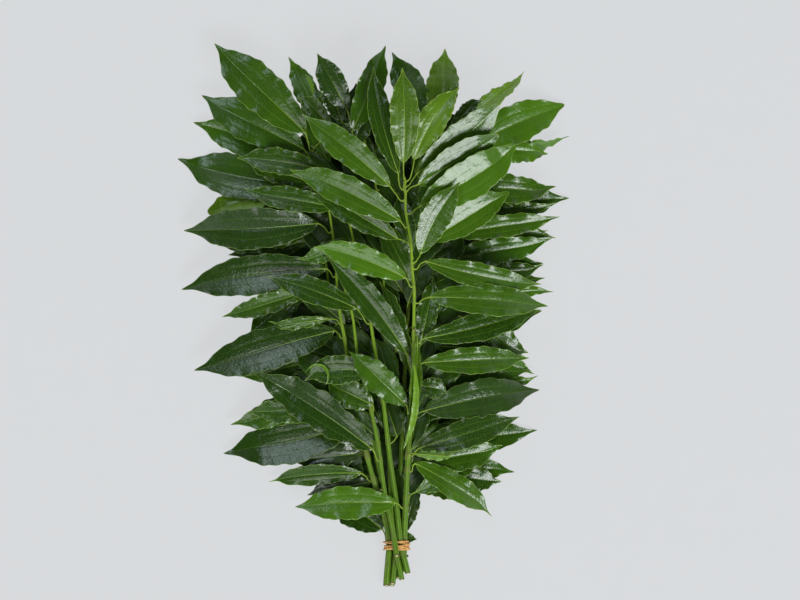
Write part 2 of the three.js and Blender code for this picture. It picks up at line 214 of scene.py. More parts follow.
# Each finish's dark green, light green, vein colour, roughness and shine. Colours are linear.
SHINE = 0.66
LEAF_FINISHES = {
    "leaf_old": ((0.010, 0.036, 0.002), (0.044, 0.13, 0.004), (0.15, 0.25, 0.03), 0.22, SHINE),
    "leaf_grown": ((0.013, 0.048, 0.002), (0.076, 0.20, 0.006), (0.22, 0.36, 0.04), 0.22, SHINE),
    "leaf_young": ((0.026, 0.080, 0.003), (0.18, 0.36, 0.016), (0.35, 0.50, 0.06), 0.24, SHINE),
    # The finish for the hidden leaves is painted shade: a darker copy of the leaf greens.
    "leaf_deep_painted_shade": ((0.008, 0.026, 0.003), (0.036, 0.095, 0.006), (0.08, 0.15, 0.018), 0.38, 0.3),
    "leaf_inner": ((0.009, 0.030, 0.002), (0.045, 0.13, 0.004), (0.13, 0.22, 0.025), 0.34, 0.35),
}
BLOOM_AND_SHEEN_GREY = (0.042, 0.052, 0.034)
UNDERSIDE_GREY = (0.16, 0.26, 0.14)
CROSS_VEIN_PITCH = 2.6
CROSS_VEIN_SLANT = 0.32


def leaf_material(name, dark, light, vein, sheen_rough, shine):
    g = Graph(name, Specular_IOR_Level=shine, Coat_Weight=0.12 * shine, Coat_Roughness=0.14)
    along, across, from_edge = g.attribute("blade")
    share, tone, under = g.attribute("look")
    from_side_vein, seed, wax = g.attribute("vein")
    aside = g.math("ABSOLUTE", across)
    drift = g.times(seed, 91.0)
    place = g.vector(along, across, drift)

    patches = g.noise(place, 0.045, 3.0, 0.6)
    mottle = g.noise(place, 0.6, 3.0, 0.6)
    quilt = g.noise(place, 0.36)
    wander = g.noise(place, 0.16)

    # Cross veins run from the midrib to the side veins and on to the margin.
    path = g.plus(g.plus(along, g.times(aside, CROSS_VEIN_SLANT)), g.times(wander, 5.0))
    turn = g.math("FRACT", g.math("DIVIDE", path, CROSS_VEIN_PITCH))
    cross_vein = g.span(g.math("ABSOLUTE", g.math("SUBTRACT", turn, 0.5)), 0.13, 0.0)
    streak = g.noise(g.vector(path, g.times(across, 0.22), drift), 0.28)
    cells = g.node(
        "ShaderNodeTexVoronoi", {"feature": "DISTANCE_TO_EDGE"}, Vector=place, Scale=0.75
    )
    net_line = g.span(cells.outputs[0], 0.12, 0.0)

    mid_width = g.span(share, 0.0, 1.0, 0.38, 0.05)
    midrib = g.span(g.math("SUBTRACT", aside, mid_width), 0.2, 0.0)
    side_vein = g.times(g.span(from_side_vein, 0.4, 0.05), g.span(share, 0.9, 0.5))
    margin = g.span(from_edge, 0.7, 0.3)

    level = g.plus(tone, g.times(g.math("SUBTRACT", patches, 0.5), 0.5))
    top = g.mix(g.span(level, 0.0, 1.0), dark, light)
    top = g.tint(top, g.span(mottle, 0.35, 0.75), 0.35, light)
    marks = ((cross_vein, 0.1), (net_line, 0.1), (side_vein, 0.3), (midrib, 0.55), (margin, 0.75))
    for mark, strength in marks:
        top = g.tint(top, mark, strength, vein)
    # Mixed toward grey: a real grey bloom on some leaves, painted sheen on others.
    top = g.mix(wax, top, BLOOM_AND_SHEEN_GREY)
    pale = tuple(0.55 * green + 0.45 * grey for green, grey in zip(light, UNDERSIDE_GREY))
    back = g.tint(g.mix(mottle, pale, light), midrib, 0.7, vein)
    g.paint("Base Color", g.mix(under, top, back))

    rough = g.plus(g.times(mottle, 0.10), sheen_rough - 0.05)
    g.paint("Roughness", g.plus(rough, g.times(under, 0.22)))

    height = g.times(streak, 0.3)
    for mark, rise in ((quilt, 0.3), (cross_vein, -0.018), (net_line, -0.010), (mottle, 0.07)):
        height = g.plus(height, g.times(mark, rise))
    g.bump(height)
    return g.material


def stalk_material():
    g = Graph("stalk", Roughness=0.45, Specular_IOR_Level=0.3)
    along, around, scar = g.attribute("rod")
    streak = g.noise(g.vector(g.times(along, 0.12), g.times(around, 2.0), scar), 1.6, 3.0)
    colour = g.mix(g.span(streak, 0.3, 0.7), (0.15, 0.27, 0.018), (0.34, 0.49, 0.05))
    g.paint("Base Color", colour)
    g.bump(g.times(streak, 0.12))
    return g.material


def stem_material():
    g = Graph("stem_bark", Specular_IOR_Level=0.2)
    along, around, scar = g.attribute("rod")
    height_up, cut, ridge = g.attribute("bark")
    sideways = g.times(around, 3.0)
    streak = g.noise(g.vector(g.times(along, 0.05), sideways, 0.0), 1.5, 4.0, 0.6)
    blotch = g.noise(g.vector(along, sideways, 7.0), 0.09, 3.0)
    fleck = g.noise(g.vector(along, g.times(around, 4.0), 3.0), 0.9)

    # The wood is darker at the cut ends and grows lighter up the bunch.
    young = g.span(height_up, -190.0, 90.0)
    green = g.mix(young, (0.11, 0.265, 0.008), (0.38, 0.62, 0.025))
    deep = g.mix(young, (0.036, 0.10, 0.005), (0.20, 0.38, 0.015))
    bark = g.mix(g.span(streak, 0.3, 0.62), deep, green)
    # Painted highlight along the ridges and painted shade in the grooves between them.
    bark = g.tint(bark, ridge, 0.35, (0.29, 0.44, 0.05))
    bark = g.mix(g.span(ridge, 0.4, 0.0, 0.0, 0.5), bark, (0.03, 0.07, 0.006))
    bark = g.tint(bark, g.span(blotch, 0.5, 0.75), 0.4, (0.16, 0.20, 0.05))
    bark = g.tint(bark, g.span(fleck, 0.68, 0.76), 0.5, (0.12, 0.09, 0.035))
    bark = g.tint(bark, scar, 0.65, (0.21, 0.20, 0.07))
    pith = g.mix(g.span(cut, 0.45, 0.9), (0.10, 0.075, 0.03), (0.50, 0.52, 0.24))
    g.paint("Base Color", g.mix(g.span(cut, 0.02, 0.12), bark, pith))
    g.paint("Roughness", g.span(streak, 0.2, 0.8, 0.36, 0.58))
    g.bump(g.plus(g.times(streak, 0.4), g.times(fleck, 0.1)))
    return g.material


def band_material():
    g = Graph("tan_rubber", Roughness=0.5, Specular_IOR_Level=0.4)
    along, around, _ = g.attribute("rod")
    place = g.vector(along, g.times(around, 2.0), 0.0)
    cloud = g.noise(place, 0.25, 3.0)
    grain = g.noise(place, 2.4)
    colour = g.mix(g.span(cloud, 0.3, 0.7), (0.56, 0.25, 0.05), (0.88, 0.50, 0.14))
    g.paint("Base Color", g.tint(colour, grain, 0.3, (0.93, 0.62, 0.30)))
    g.bump(g.times(grain, 0.12))
    return g.material


def floor_material():
    g = Graph("floor", Roughness=0.9, Specular_IOR_Level=0.0)
    grain = g.noise(g.node("ShaderNodeNewGeometry").outputs["Position"], 40.0)
    g.paint("Base Color", g.mix(grain, (0.10, 0.102, 0.104), (0.09, 0.092, 0.094)))
    g.paint("Emission Color", FLOOR_GLOW)
    g.paint("Emission Strength", FLOOR_GLOW_STRENGTH)
    return g.material


# -------- meshes

class Skin:
    """Gathers points, faces and the values the materials read, then makes one mesh of them."""

    VALUES = ("blade", "look", "vein", "rod", "bark")

    def __init__(self):
        self.points = []
        self.faces = []
        self.slots = []
        self.smooth = []
        self.values = {name: [] for name in self.VALUES}
        self.count = 0

    def add(self, points, faces, slot=0, flat=(), **values):
        points = np.array(points, float).reshape(-1, 3)
        points[:, 2] = np.maximum(points[:, 2], FLOOR_GAP)
        self.points.append(points)
        for shown, group in ((True, faces), (False, flat)):
            self.faces += [[self.count + corner for corner in face] for face in group]
            self.slots += [slot] * len(group)
            self.smooth += [shown] * len(group)
        for name, held in self.values.items():
            given = values.get(name)
            held.append(np.zeros_like(points) if given is None else np.reshape(given, (-1, 3)))
        self.count += len(points)

    def piece(self, name, materials, replaced=()):
        mesh = bpy.data.meshes.new(name)
        mesh.from_pydata((np.concatenate(self.points) * MM).tolist(), [], self.faces)
        mesh.polygons.foreach_set("use_smooth", self.smooth)
        mesh.polygons.foreach_set("material_index", self.slots)
        for value, held in self.values.items():
            held = np.concatenate(held)
            if np.any(held):
                layer = mesh.attributes.new(value, "FLOAT_VECTOR", "POINT")
                layer.data.foreach_set("vector", held.ravel())
        for material in materials:
            mesh.materials.append(material)
        made = in_scene(name, mesh)
        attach(made, "root")
        if replaced:
            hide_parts(*replaced)


def grid_faces(rows, columns):
    """The faces between a grid's points, which are counted row by row."""
    faces = []
    for r in range(rows - 1):
        for here in range(r * columns, (r + 1) * columns - 1):
            faces.append((here, here + 1, here + columns + 1, here + columns))
    return faces


def grid_values(shape, *values):
    """Three values for each point of a grid, given by point, by row, by column or once."""
    return np.stack([np.broadcast_to(value, shape) for value in values], axis=-1)


def unit(vectors):
    vectors = np.asarray(vectors, float)
    length = np.linalg.norm(vectors, axis=-1, keepdims=True)
    return vectors / np.maximum(length, 1e-9)


def smooth(knots, points, at):
    """Where a smooth curve through points, which stand at knots, is at each place in at."""
    knots, points, at = (np.asarray(given, float) for given in (knots, points, at))
    slopes = np.gradient(points, knots, axis=0)
    low = np.clip(np.searchsorted(knots, at, side="right") - 1, 0, len(knots) - 2)
    gap = (knots[low + 1] - knots[low]).reshape((-1,) + (1,) * (points.ndim - 1))
    t = (at - knots[low]).reshape(gap.shape) / gap
    start = (2 * t**3 - 3 * t**2 + 1) * points[low] + (t**3 - 2 * t**2 + t) * gap * slopes[low]
    end = (3 * t**2 - 2 * t**3) * points[low + 1] + (t**3 - t**2) * gap * slopes[low + 1]
    return start + end


def lengths(path):
    steps = np.linalg.norm(np.diff(path, axis=0), axis=1)
    return np.concatenate([[0.0], np.cumsum(steps)])


def ease(value, low, high):
    t = np.clip((np.asarray(value, float) - low) / (high - low), 0, 1)
    return t * t * (3 - 2 * t)


def bell(distance, half):
    return np.exp(-((distance / half) ** 2))


def tube(path, radii, sides, closed=False):
    """Rings of points round a path, their faces, and how far along and round each point is."""
    path = np.asarray(path, float)
    if closed:
        heading = unit(np.roll(path, -1, axis=0) - np.roll(path, 1, axis=0))
    else:
        heading = unit(np.gradient(path, axis=0))
    over = np.cross(np.cross(heading, UP), heading)
    flat = np.linalg.norm(over, axis=1) < 0.2  # where the path runs nearly upright
    over[flat] = np.cross(np.cross(heading[flat], [0.0, 1.0, 0.0]), heading[flat])
    over = unit(over)
    side = np.cross(heading, over)
    angle = 2 * np.pi * np.arange(sides) / sides
    spokes = side[:, None] * np.cos(angle)[:, None] + over[:, None] * np.sin(angle)[:, None]
    points = path[:, None] + spokes * np.reshape(radii, (len(path), -1, 1))
    faces = []
    for r in range(len(path) if closed else len(path) - 1):
        low, high = r * sides, ((r + 1) % len(path)) * sides
        for k in range(sides):
            n = (k + 1) % sides
            faces.append((low + k, high + k, high + n, low + n))
    rod = grid_values(points.shape[:2], lengths(path)[:, None], np.abs(angle - np.pi), 0.0)
    return points, faces, rod


# -------- what the frame holds

LEAF_SIDES = 6  # points in one ring of a CAD leaf
STALK_RINGS = 2  # its rings that belong to the stalk alone
STEM_SIDES = 8
STATION = 2.5  # step along a stem
# Where a blade's rows of five points stand, as shares of its length.
ALONG = np.array([0, 0.05, 0.13, 0.23, 0.35, 0.48, 0.61, 0.73, 0.84, 0.93, 1])


def corners_of(node):
    """A node's points in millimetres."""
    vertices = nodes[node].data.vertices
    flat = np.empty(len(vertices) * 3)
    vertices.foreach_get("co", flat)
    return flat.reshape(-1, 3) / MM


def welded(node):
    """A node's points, each once, and which of them share a face."""
    points, index = np.unique(np.round(corners_of(node), 3), axis=0, return_inverse=True)
    index = index.ravel()
    links = [set() for _ in points]
    for face in nodes[node].data.polygons:
        corners = {int(index[corner]) for corner in face.vertices}
        for corner in corners:
            links[corner] |= corners - {corner}
    return points, links


def rings_of(node):
    """A leaf node's rings of points from stalk to tip, then its tip."""
    points, links = welded(node)
    for tip in range(len(points)):
        layers, seen = [[tip]], {tip}
        while True:
            layer = {n for v in layers[-1] for n in links[v]} - seen
            if len(layer) != LEAF_SIDES:
                break
            layers.append(sorted(layer))
            seen |= layer
        if len(seen) == len(points):
            return [points[layer] for layer in reversed(layers)]
    raise ValueError(node)


def leaf_from_node(node):
    """The stalk's path and the blade's rows of five points, left margin to right margin."""
    rings = rings_of(node)
    centres = np.array([ring.mean(axis=0) for ring in rings])
    heading = unit(np.gradient(centres, axis=0))
    rows = []
    for ring, ahead in zip(rings[:-1], heading):
        side = unit(np.cross(ahead, UP))
        order = np.argsort((ring - ring.mean(axis=0)) @ side)
        left, middle, right = ring[order[:2]], ring[order[2:4]], ring[order[4:]]
        top = middle[np.argmax(middle[:, 2])]
        left, right = left.mean(axis=0), right.mean(axis=0)
        rows.append([left, (left + top) / 2, top, (right + top) / 2, right])
    rows.append([rings[-1][0]] * 5)
    return centres[: STALK_RINGS + 1], np.array(rows[STALK_RINGS:])


def outline(along):
    """A blade's half width along its length, as a share of the widest."""
    return np.sin(np.pi * along) ** (0.6 + 0.62 * along**2)


def leaf_from_ends(base, tip, wide, bow=0, arch=5, roll=0, fold=0.16):
    """The same rows for a leaf given by its two ends."""
    base, tip = np.array(base, float), np.array(tip, float)
    chord = tip - base
    right = unit(np.cross(chord, UP))
    bulge = (4 * ALONG * (1 - ALONG))[:, None]
    spine = base + chord * ALONG[:, None] + right * bow * bulge + UP * arch * bulge
    heading = unit(np.gradient(spine, axis=0))
    side = unit(np.cross(heading, UP))
    normal = np.cross(side, heading)
    turned = side * math.cos(roll) - normal * math.sin(roll)
    normal = normal * math.cos(roll) + side * math.sin(roll)
    half = (0.5 * wide * outline(ALONG))[:, None]
    half[0] = 1.0
    columns = []
    for v in (-1, -0.5, 0, 0.5, 1):
        columns.append(spine + turned * half * v + normal * abs(v) * fold * half)
    return np.stack(columns, axis=1)


class Stem:
    """A stem's centre line and radius from the cut end up, and where stalks join it."""

    def __init__(self, node):
        points, _ = welded(node)
        rings = points[np.argsort(points[:, 1])].reshape(-1, STEM_SIDES, 3)
        centres = rings.mean(axis=1)
        radii = np.linalg.norm(rings - centres[:, None], axis=2).mean(axis=1)
        run = lengths(centres)
        self.node = node
        self.run = np.linspace(0, run[-1], int(run[-1] / STATION) + 1)
        self.path = smooth(run, centres, self.run)
        self.radii = np.interp(self.run, run, radii)
        self.joints = []


STEM_NAMES = sorted(name for name in nodes if name.startswith("stem_"))
LEAF_NAMES = sorted(name for name in nodes if name.startswith("leaf_"))
stems = [Stem(name) for name in STEM_NAMES]


def nearest_stem(point, highest=math.inf):
    """The stem and its station nearest to a point, no further up the bunch than highest."""
    found = []
    for stem in stems:
        gap = np.linalg.norm(stem.path - point, axis=1) - stem.radii
        gap[stem.path[:, 1] > highest] = math.inf
        at = int(np.argmin(gap))
        found.append((gap[at], stem, at))
    return min(found, key=lambda entry: entry[0])[1:]


# -------- a leaf

class Detail:
    """How finely a blade is divided: shares of its length, and of its half width to each side."""

    def __init__(self, rows, half):
        half = np.array(half)
        self.across = np.concatenate([-half[:0:-1], half])
        even = np.linspace(0, 1, rows)
        turn = 0.5 - 0.5 * np.cos(np.pi * even)
        self.along = 0.35 * turn + 0.65 * even


FULL = Detail(58, [0, 0.06, 0.16, 0.32, 0.44, 0.50, 0.56, 0.70, 0.82, 0.91, 0.97, 1])
MEDIUM = Detail(32, [0, 0.12, 0.42, 0.5, 0.58, 0.8, 1])
COARSE = Detail(20, [0, 0.12, 0.36, 0.6, 0.84, 1])
SIDE_VEIN = 0.5
BLADE_THICK = 0.34
RIM_THICK = 0.14

# What a leaf's look can say, and what holds when it says nothing. Angles are in degrees.
LOOK = dict(
    tone=0.3, wax=0.0,  # from dark to light, and how much grey: real bloom on some leaves, painted sheen on others
    twist=0.0, pitch=0.0,  # turned about its length, and tip down
    open=0.0, lift=0.0,  # both ends raised, and the whole blade raised
    lift_left=0.04, lift_right=0.04, puff=0.018,  # margins raised, and halves puffed up
    wave=1.2, ripple=0.6, hem=1.0,  # long and short waves of the margin, and its wandering
    narrow=0.42, blunt=0.2, slim=0.0,  # the tip drawn out, the tip kept full, the far half thin
    bow=0.0, tip_side=0.0, sway=2.5,  # bent sideways, tip to one side, tip to a random side
    veined=1.0, stalked=True,
)
MARGIN_WAVES = 4.5
TIP_TWIST = 22
TIP_RISE = 2
TIP_WIDTH = 0.16
MIDRIB_GROOVE, MIDRIB_GROOVE_HALF = 0.28, 0.8
SIDE_GROOVE, SIDE_GROOVE_HALF = 0.2, 0.6


def sine(turns):
    return np.sin(2 * np.pi * turns)


def tilt(grid, along, look):
    """Raises a blade's ends, pitches it about its middle and lifts it."""
    length = np.linalg.norm(grid[-1, 2] - grid[0, 2])
    ends = look["open"] * (1 - 4 * along * (1 - along))
    slope = math.tan(math.radians(look["pitch"])) * (along - 0.5) * length
    grid[..., 2] += (ends - slope + look["lift"])[:, None]


def axes_of(grid):
    """Unit vectors across a blade and out of its top, for each row."""
    heading = unit(np.gradient(grid[:, 2], axis=0))
    side = grid[:, 4] - grid[:, 0]
    side[-2:] = side[-3]
    side = unit(side - heading * (side * heading).sum(axis=1, keepdims=True))
    return side, unit(np.cross(side, heading))


def spread_of(grid, across):
    """How far each point lies from its row's middle, on a curve through the row's five points."""
    v = np.abs(across)[:, None]
    left = across[:, None] < 0
    inner = np.where(left, grid[:, 1][:, None], grid[:, 3][:, None])
    rim = np.where(left, grid[:, 0][:, None], grid[:, 4][:, None])
    middle = grid[:, 2][:, None]
    points = middle * (1 - v) * (1 - 2 * v) + inner * 4 * v * (1 - v) + rim * v * (2 * v - 1)
    return points - middle


def kept_width(u, a, right, phase, look):
    """The share of its width that a blade keeps: a drawn-out tip and a wandering margin."""
    full = outline(u) ** (-look["blunt"] * ease(u, 0.5, 0.9))
    full[-1] = 1
    drawn_out = 1 - look["narrow"] * ease(u, 0.79, 0.95)
    slimmed = 1 - look["slim"] * ease(u, 0.3, 0.65)
    fine = 0.03 * sine(9 * u + phase[0] + 0.3 * right)
    coarse = 0.035 * sine(3.7 * u + phase[1] + 0.5 * right)
    return full * drawn_out * slimmed * (1 + look["hem"] * (fine + coarse) * a**2)


def relief(u, a, left, right, width, phase, look, chance):
    """How far each point of a blade stands out from the plain folded sheet."""
    body = np.sin(np.pi * u) ** 0.6
    rise = look["puff"] * width * np.sin(np.pi * a) * body
    rise = rise - MIDRIB_GROOVE * bell(a * width, MIDRIB_GROOVE_HALF) * body
    groove = SIDE_GROOVE * look["veined"] * bell((a - SIDE_VEIN) * width, SIDE_GROOVE_HALF)
    rise = rise - groove * body * ease(u, 0.95, 0.6)
    swing = MARGIN_WAVES + chance.uniform(-0.8, 0.8)
    for here, first, second in ((left, phase[2], phase[4]), (right, phase[3], phase[5])):
        rise = rise + here * look["wave"] * a**3.5 * sine(swing * u + first) * body
        rise = rise + here * look["ripple"] * a**5 * sine(2.3 * swing * u + second) * body
    tip_twist = chance.uniform(-TIP_TWIST, TIP_TWIST)
    lean = np.radians(look["twist"] + tip_twist * ease(u, 0.55, 1.0))
    signed = a * right - a * left
    rise = rise + signed * width * np.tan(lean) * ease(u, 0.0, 0.15)
    rise = rise + left * a * look["lift_left"] * body * width
    rise = rise + right * a * look["lift_right"] * body * width
    return rise + chance.uniform(0, TIP_RISE) * ease(u, 0.78, 1.0) ** 1.5


def blade_grid(rows, look, detail, chance):
    """The fine grid of points over the top of a blade, its normals and its half width by row."""
    grid = smooth(ALONG, rows, detail.along)
    tilt(grid, detail.along, look)
    side, normal = axes_of(grid)
    u = detail.along[:, None]
    a = np.abs(detail.across)
    left, right = detail.across < 0, detail.across > 0

    # Two of the eight phases are spare: they keep the order of the random draws.
    phase = [chance.random() for _ in range(8)]
    spread = spread_of(grid, detail.across) * kept_width(u, a, right, phase, look)[:, :, None]
    spread[-1] = TIP_WIDTH * side[-1] * detail.across[:, None]
    width = np.maximum(np.linalg.norm(spread[:, -1] - spread[:, 0], axis=1)[:, None] / 2, 0.2)
    rise = relief(u, a, left, right, width, phase, look, chance)
    points = grid[:, 2][:, None] + spread + normal[:, None] * rise[:, :, None]
    sway = look["tip_side"] + chance.uniform(-1, 1) * look["sway"]
    shift = sway * ease(u, 0.75, 1.0) ** 1.5 + look["bow"] * 4 * u * (1 - u)
    points = points + side[:, None] * shift[:, :, None]
    points[..., 2] = np.maximum(points[..., 2], BLADE_THICK + 0.1)
    return points, normal, width


def add_blade(skin, points, normal, width, seed, look, detail):
    """A thin closed sheet: the top, the same again below it, and a rim between the two."""
    rows, columns = shape = points.shape[:2]
    a = np.abs(detail.across)
    u = detail.along[:, None]
    plain = 1 - look["veined"]  # keeps a plain strip clear of veins and of the pale margin
    thick = RIM_THICK + (BLADE_THICK - RIM_THICK) * (1 - a**4)
    below = points - normal[:, None] * thick[:, None]
    along = lengths(points[:, columns // 2])[:, None]
    across = detail.across * width + plain * np.sign(detail.across)
    from_edge = np.minimum((1 - a) * width, (along[-1] - along) * 0.6) + plain
    from_vein = np.abs(a - SIDE_VEIN) * width + plain

    faces = grid_faces(rows, columns)
    count = rows * columns
    lower = [(count + a, count + d, count + c, count + b) for a, b, c, d in faces]
    edges = []
    for first in range(0, count - columns, columns):
        last = first + columns - 1
        edges += [(first, first + columns), (last + columns, last)]
    end = count - columns
    for c in range(columns - 1):
        edges += [(c + 1, c), (end + c, end + c + 1)]
    rim = [(p, q, count + q, count + p) for p, q in edges]
    skin.add(
        [points, below],
        faces + lower,
        flat=rim,
        blade=[grid_values(shape, along, across, from_edge)] * 2,
        look=[grid_values(shape, u, look["tone"], under) for under in (0, 1)],
        vein=[grid_values(shape, from_vein, seed, look["wax"])] * 2,
    )


STALK_SIDES = 8
STALK_STEPS = 14
STALK_RADIUS = 0.62
STALK_FOOT, STALK_FOOT_LONG = 0.6, 2.2  # how much thicker it starts, and for how long
MIDRIB_RADIUS = 0.7
MIDRIB_DEPTH = 0.45


def add_stalk(skin, stalk, points, normal, slot):
    """The stalk from the stem to the blade, running on under it as its midrib."""
    under = points[:, points.shape[1] // 2] - normal * MIDRIB_DEPTH
    midrib = under[2::2]
    stem, at = nearest_stem(stalk[0])
    stem.joints.append(stem.run[at])
    centre = stem.path[at]
    root = centre + unit(stalk[0] - centre) * stem.radii[at] * 0.3
    knots = [root, *stalk[:-1], under[0]]
    run = lengths(np.array(knots))
    steps = np.linspace(0, run[-1], STALK_STEPS)
    swell = STALK_RADIUS + STALK_FOOT * bell(steps, STALK_FOOT_LONG)
    swell = swell + 0.16 * ease(np.linspace(0, 1, STALK_STEPS), 0.7, 1.0)
    thinning = MIDRIB_RADIUS - 0.5 * np.linspace(0, 1, len(midrib))
    path = np.concatenate([smooth(run, knots, steps), midrib])
    tube_points, faces, rod = tube(path, np.concatenate([swell, thinning]), STALK_SIDES)
    last = len(path) * STALK_SIDES - 1
    end = tuple(range(last, last - STALK_SIDES, -1))
    skin.add(tube_points, faces + [end], slot=slot, rod=rod)


def build_leaf(skin, name, rows, stalk, look, detail, stalk_slot):
    look = {**LOOK, **look}
    chance = random.Random(name)
    points, normal, width = blade_grid(rows, look, detail, chance)
    add_blade(skin, points, normal, width, chance.random(), look, detail)
    if look["stalked"]:
        add_stalk(skin, stalk, points, normal, stalk_slot)


# -------- looks of the leaves in the frame

CRISPED = dict(hem=1.8, wave=1.6, ripple=0.9, sway=6, twist=6)
CALM = dict(wave=0.35, ripple=0.3, puff=0.005)


def tuned(tone, twist=0.0, **rest):
    return dict(tone=tone, twist=twist, **rest)


# Each leaf's tone and grey are given one by one. The tones above 1 on left_09, right_01, right_06,
# right_07 and right_13 are painted light: the lightest green, for leaves that lie in shade. The grey
# on top_02 and right_14 is painted sheen.
LOOKS = dict(
    left_01=tuned(0.36, -1),
    left_02=tuned(0.65, -4),
    left_03=tuned(0.72, -9, pitch=-3),
    left_04=tuned(0.5, -9, pitch=3, open=2, wave=0.7),
    left_05=tuned(0.22, -8, lift_left=0.16, hem=1.5),
    left_06=tuned(0.22, -9, lift_left=0.16, hem=1.5),
    left_07=tuned(0.1, 8, lift_right=0.16, wave=0.7),
    left_08=tuned(0.14, -8, open=3, wave=0.6),
    left_09=tuned(1.3),
    left_10=tuned(-0.1, -13, pitch=-4, open=2, wave=0.6),
    left_11=tuned(0.15, -11, pitch=-2, open=4, **CALM),
    left_12=tuned(0.15, lift_right=0.16, narrow=0.7),
    left_13=tuned(0.1, -8),
    top_01=tuned(0.75, 4, hem=1.6),
    top_02=tuned(0.25, -11, wax=0.1, pitch=-14, lift_right=-0.15),
    top_03=tuned(0.75),
    top_04=tuned(-0.05, -3, lift_right=-0.1),
    top_05=tuned(0.25, 7),
    top_06=tuned(0.9, 3, lift_right=0.2),
    top_07=tuned(0.5, 3, lift_right=-0.12),
    top_08=tuned(0.45, pitch=-4),
    top_09=tuned(0.45, -12, pitch=-4, open=8, lift_right=-0.1, blunt=0.5, narrow=0.3, **CALM),
    top_10=tuned(0.95, 3, slim=0.3, tip_side=-3),
    centre_01=tuned(0.5, 3),
    centre_02=tuned(0.5, 3),
    centre_03=tuned(0.9, 3, open=5, pitch=3, wave=1.6),
    centre_04=tuned(-0.1, -6, lift_right=-0.1),
    centre_05=tuned(0.4, 3, pitch=-3, lift_right=0.16),
    centre_06=tuned(-0.1, -3, pitch=4, open=6, lift_left=-0.1, wave=0.8, tip_side=-9),
    centre_07=tuned(0.5, lift_left=0.16, lift_right=0.16, wave=2.0, hem=1.5, veined=0.4),
    centre_08=tuned(0.12, 6, open=2, lift_right=0.2, hem=1.8, wave=1.4),
    centre_09=tuned(0.25, slim=0.4, bow=-3.5, lift_left=0.45, lift_right=0.6, veined=0.0),
    centre_10=tuned(0.75, -9, pitch=-3),
    right_01=tuned(1.5, 6, lift_left=0.11, blunt=0.35, narrow=0.3),
    right_02=tuned(0.7, -12, open=6, lift=2.5, blunt=0.5, narrow=0.3, **CALM),
    right_03=tuned(0.45, 4, hem=1.6, wave=1.6),
    right_04=tuned(
        0.6, -18, pitch=7, open=6, lift_left=0.16, blunt=0.4, narrow=0.3, **CALM
    ),
    right_05=tuned(0.4, -9, pitch=3, open=4, lift=2, **CALM),
    right_06=tuned(1.6, 4, hem=1.6, wave=1.6),
    right_07=tuned(1.4, 3),
    right_08=tuned(0.45, 9),
    right_09=tuned(0.4, 9, lift_left=-0.03),
    right_10=tuned(0.5, 3),
    right_11=tuned(0.0, 6, lift_left=-0.03),
    right_12=tuned(0.42, 9, lift_left=0.06),
    right_13=tuned(1.3, 8, lift_left=-0.03),
    right_14=tuned(0.45, 4, wax=0.25, lift_left=-0.03),
    right_15=tuned(-0.05, 6, wax=0.1, lift_left=-0.15),
    right_16=tuned(0.5),
    right_17=tuned(0.8, 3, pitch=3),
    right_18=tuned(0.5, 14, lift_left=-0.1, narrow=0.7, tip_side=6),
)

# The finish is leaf_grown for every leaf that is in neither list.
OLD = [
    "left_02", "left_03", "left_04", "left_07", "left_08", "left_09", "left_10", "left_11",
    "left_13", "top_02", "top_03", "top_06", "right_03", "right_06", "right_07", "right_10",
    "right_13", "right_14", "right_16", "right_17", "centre_05", "centre_08",
]
YOUNG = ["top_05", "top_07", "top_08", "top_10", "centre_09"]


# -------- leaves beside those in the frame

FLAT = dict(hem=0.5, sway=1, **CALM)
EVEN = dict(hem=1, sway=1)


def more(tip, base, wide, tone, under=(), **shape):
    """A leaf from its two ends and its width. A bow bends its rows, and its blade once more."""
    return dict(tip=tip, base=base, wide=wide, tone=tone, under=under, **{**CRISPED, **shape})


MORE_LEFT = [
    more((-118, 122, 8), (-62, 132, 16), 30, 0.0, **FLAT),
    more((-124, 104, 6), (-62, 104, 14), 24, 0.0, **FLAT),
    more((-148, 65, 5), (-60, 80, 30), 22, 0.35),
    more((-138, 58, 5), (-62, 72, 28), 22, 0.3),
    more((-144, -1, 4), (-60, 25, 28), 20, 0.4),
    more((-127, -60, 8), (-50, -40, 30), 20, 0.3),
    more((-135, -105, 8), (-35, -72, 26), 28, 0.3),
    more((-120, -92, 16), (-35, -85, 30), 26, 0.15),
    more((-76, -138, 10), (-12, -130, 20), 28, 0.0, wax=0.45, twist=0),
    more((-122, 147, 26), (-55, 127, 42), 22, 0.3),
    more((-98, -10, 34), (-43, -2, 42), 12, 0.4),
    more((-69, 211, 34), (-41, 182, 38), 18, 0.35),
    more((-69, 205, 24), (-42, 146, 30), 22, 0.5, **EVEN),
    more((-48, 236, 26), (-29, 184, 32), 21, 0.1, **EVEN),
    more((-24, 214, 28), (-22, 156, 32), 22, 0.1, **EVEN, wave=0.4),
    more((-69, 51, 46), (-20, 72, 52), 18, 0.35),
    more((-63, -167, 12), (-3, -158, 20), 18, 0.0, roll=0.3, wax=0.5),
]
MORE_CENTRE = [
    more((2, 220, 38), (-20, 159, 42), 24, 0.1),
    more((-61, 125, 50), (23, 74, 60), 26, 0.15),
    more((10, 35, 40), (36, -52, 46), 18, 0.1),
    more((59, 38, 40), (45, -27, 46), 20, 0.1),
    more((-46, -62, 38), (0, -84, 44), 28, 0.2),
    more((-14, -58, 14), (8, -102, 16), 24, 0.0),
    more((58, -92, 14), (37, -138, 16), 24, 0.0),
    more((-47, 16, 20), (-6, -32, 22), 24, 0.0),
    more((-14, -138, 10), (14, -188, 12), 18, 0.0),
    more((16, -136, 6), (27, -206, 6), 25, 0.0, **FLAT),
    more((6, 94, 42), (36, 34, 46), 22, 0.25, hem=1, sway=2, **CALM),
    more((24, 118, 42), (36, 60, 46), 20, 0.2, hem=1, sway=2, **CALM),
    more((-16, 62, 12), (24, 8, 16), 26, 0.1, **EVEN, **CALM),
    more((26, 132, 30), (42, 82, 34), 20, 0.1, **EVEN, **CALM),
]
